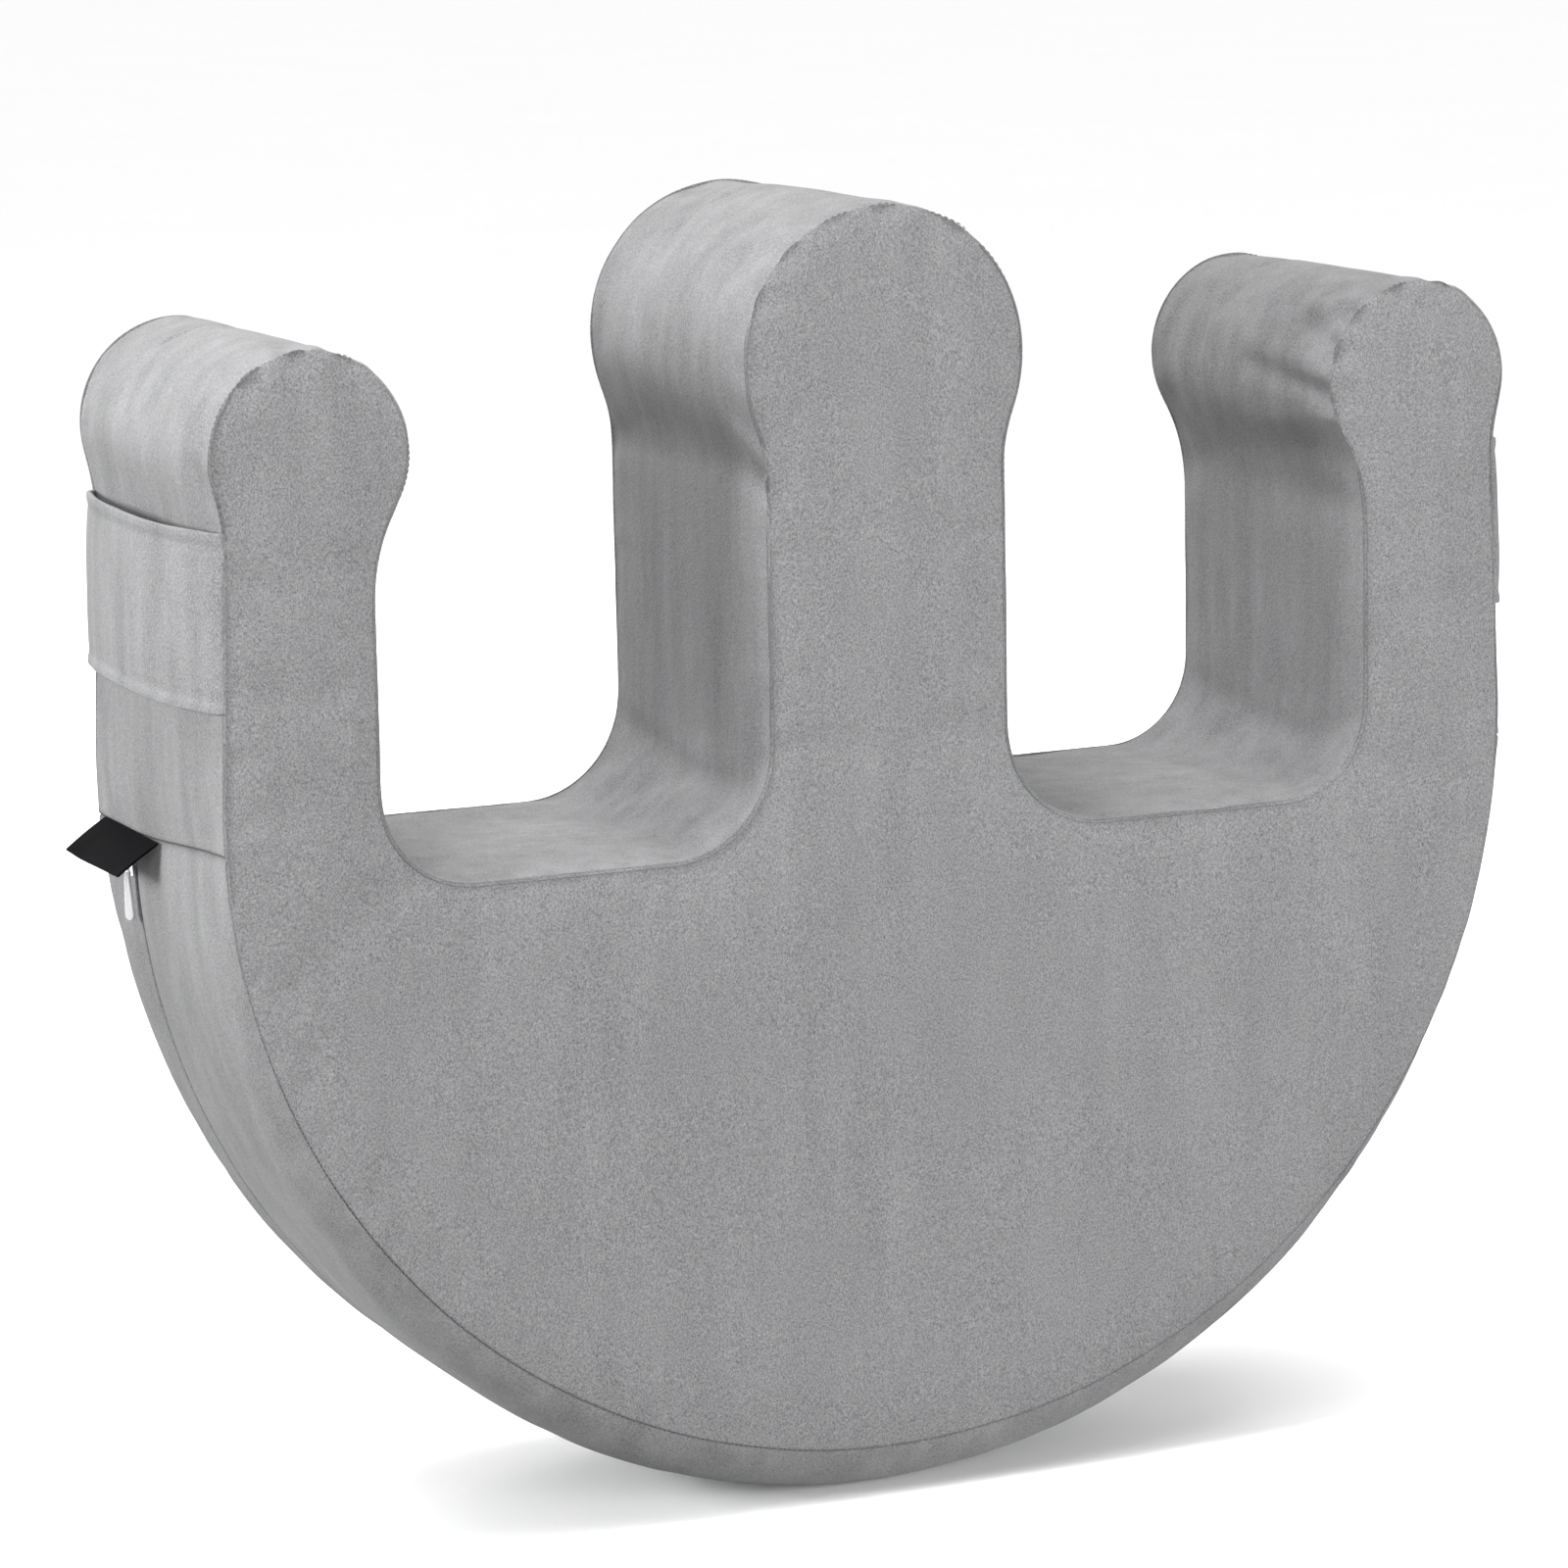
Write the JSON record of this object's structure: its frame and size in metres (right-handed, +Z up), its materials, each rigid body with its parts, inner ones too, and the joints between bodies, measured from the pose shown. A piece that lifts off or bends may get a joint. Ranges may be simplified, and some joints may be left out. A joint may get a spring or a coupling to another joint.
{
  "type": "leg positioning cushion",
  "caption": "Free-standing foam positioning cushion with a rocker base, headed posts and leg slots, in a zipped plush cover with hand straps.",
  "frame": {"origin": "the point at mid depth where the rocker touches the floor, standing level", "axes": "+X across the cushion to the right post seen from the front panel, +Y from front panel to back panel, +Z up"},
  "size_m": [0.6311, 0.174, 0.5618],
  "materials": {
    "plush": "short-pile grey plush with a soft nap",
    "foam": "open-cell polyurethane foam",
    "zip_tape": "woven tape",
    "zip_coil": "nylon coil",
    "zip_metal": "plated die casting",
    "pull_enamel": "white enamel",
    "label_ribbon": "black damask ribbon, plain"
  },
  "bodies": {
    "cushion": {"foam_core": "foam", "cover_front_panel": "plush", "cover_back_panel": "plush", "gusset_upper": "plush", "gusset_lower_front": "plush", "gusset_lower_back": "plush", "zip_tape_front": "zip_tape", "zip_coil_front": "zip_coil", "zip_tape_back": "zip_tape", "zip_coil_back": "zip_coil", "zip_top_stops": "zip_metal", "zip_bottom_stop": "zip_metal", "hand_strap_left": "plush", "hand_strap_right": "plush"},
    "slider": {"zip_slider": "zip_metal"},
    "pull": {"zip_pull_tab": "pull_enamel"},
    "label": {"woven_label": "label_ribbon"}
  },
  "joints": [
    {"name": "slider_run", "type": "hinge", "parent": "cushion", "child": "slider", "pos_m": [0, 0.036, 0.3], "axis": [0, -1, 0], "range_deg": [0, 175.4]},
    {"name": "pull_swing", "type": "hinge", "parent": "slider", "child": "pull", "pos_m": [-0.30296, 0.036, 0.28783], "axis": [0, 1, 0], "range_deg": [-2, 80]},
    {"name": "label_flap", "type": "hinge", "parent": "cushion", "child": "label", "pos_m": [-0.3009, 0.036, 0.302], "axis": [0, 1, 0], "range_deg": [-6, 60], "stiffness_Nm_per_rad": 0.01}
  ]
}
